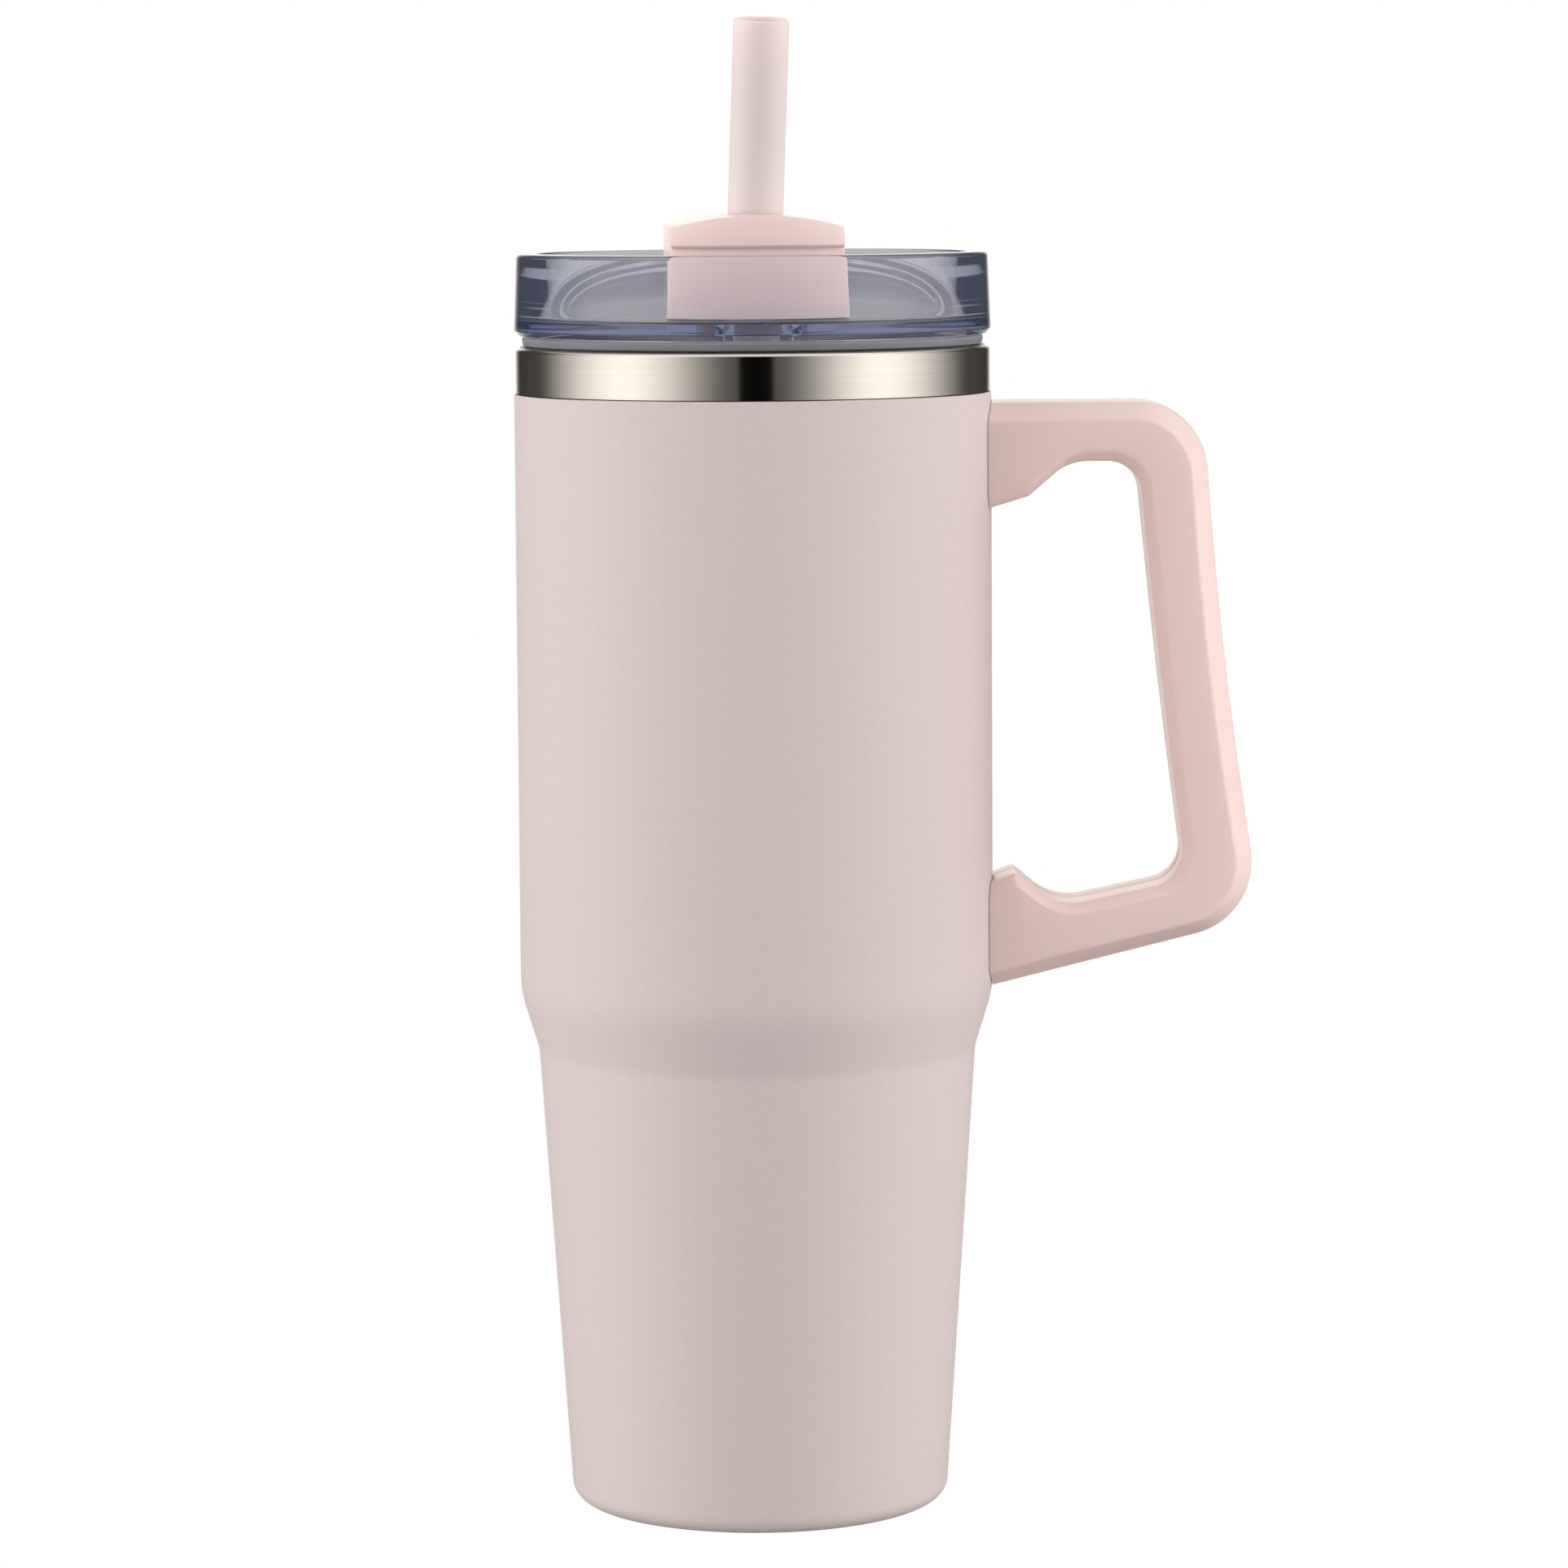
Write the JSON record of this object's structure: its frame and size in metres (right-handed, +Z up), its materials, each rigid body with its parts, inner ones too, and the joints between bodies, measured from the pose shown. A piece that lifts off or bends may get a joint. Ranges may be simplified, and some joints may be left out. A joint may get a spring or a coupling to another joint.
{
  "type": "insulated tumbler with lid",
  "caption": "Tall double-walled steel tumbler in a pale pink powder coat, with a side handle, a clear push-in lid, a turning bar over its sip hole and a rigid straw.",
  "frame": {"origin": "centre of the base, on the surface the tumbler stands on", "axes": "+Z up along the body's axis, +X towards the handle, -Y towards the side the straw leans to, which is the front"},
  "size_m": [0.1517, 0.098, 0.3076],
  "materials": {
    "powder_pink": "fine matt powder coat",
    "brushed_steel": "brushed round the axis",
    "copper_foil": "thin bright foil",
    "getter_grey": "sintered, dull",
    "pink_moulding": "satin moulded plastic",
    "smoked_clear": "clear, lightly smoked, polished",
    "clear_silicone": "translucent silicone",
    "straw_pink": "slightly translucent extruded plastic"
  },
  "bodies": {
    "vessel": {"powder_coat": "powder_pink", "outer_shell": "brushed_steel", "inner_liner": "brushed_steel", "foil_wrap": "copper_foil", "base_disc": "brushed_steel", "vacuum_seal": "getter_grey", "getter": "getter_grey", "base_cap": "brushed_steel", "upper_bracket": "brushed_steel", "lower_bracket": "brushed_steel", "handle_front": "pink_moulding", "handle_rear": "pink_moulding", "handle_screw_1": "brushed_steel", "handle_screw_2": "brushed_steel", "handle_screw_3": "brushed_steel", "handle_screw_4": "brushed_steel"},
    "lid": {"lid_shell": "smoked_clear", "lid_gasket": "clear_silicone"},
    "bar": {"twist_bar": "pink_moulding", "hub_ring": "pink_moulding", "hub_seal": "clear_silicone", "sip_seal": "clear_silicone", "straw_bush": "clear_silicone"},
    "straw": {"straw": "straw_pink"}
  },
  "joints": [
    {"name": "lid_lift", "type": "slide", "parent": "vessel", "child": "lid", "axis": [0, 0, 1], "range_m": [0, 0.26]},
    {"name": "bar_turn", "type": "hinge", "parent": "lid", "child": "bar", "pos_m": [0, 0, 0.2463], "axis": [0, 0, 1], "range_deg": [0, 90]},
    {"name": "straw_slide", "type": "slide", "parent": "bar", "child": "straw", "axis": [0.0382, -0.1219, 0.9918], "range_m": [-0.006, 0.2]}
  ]
}
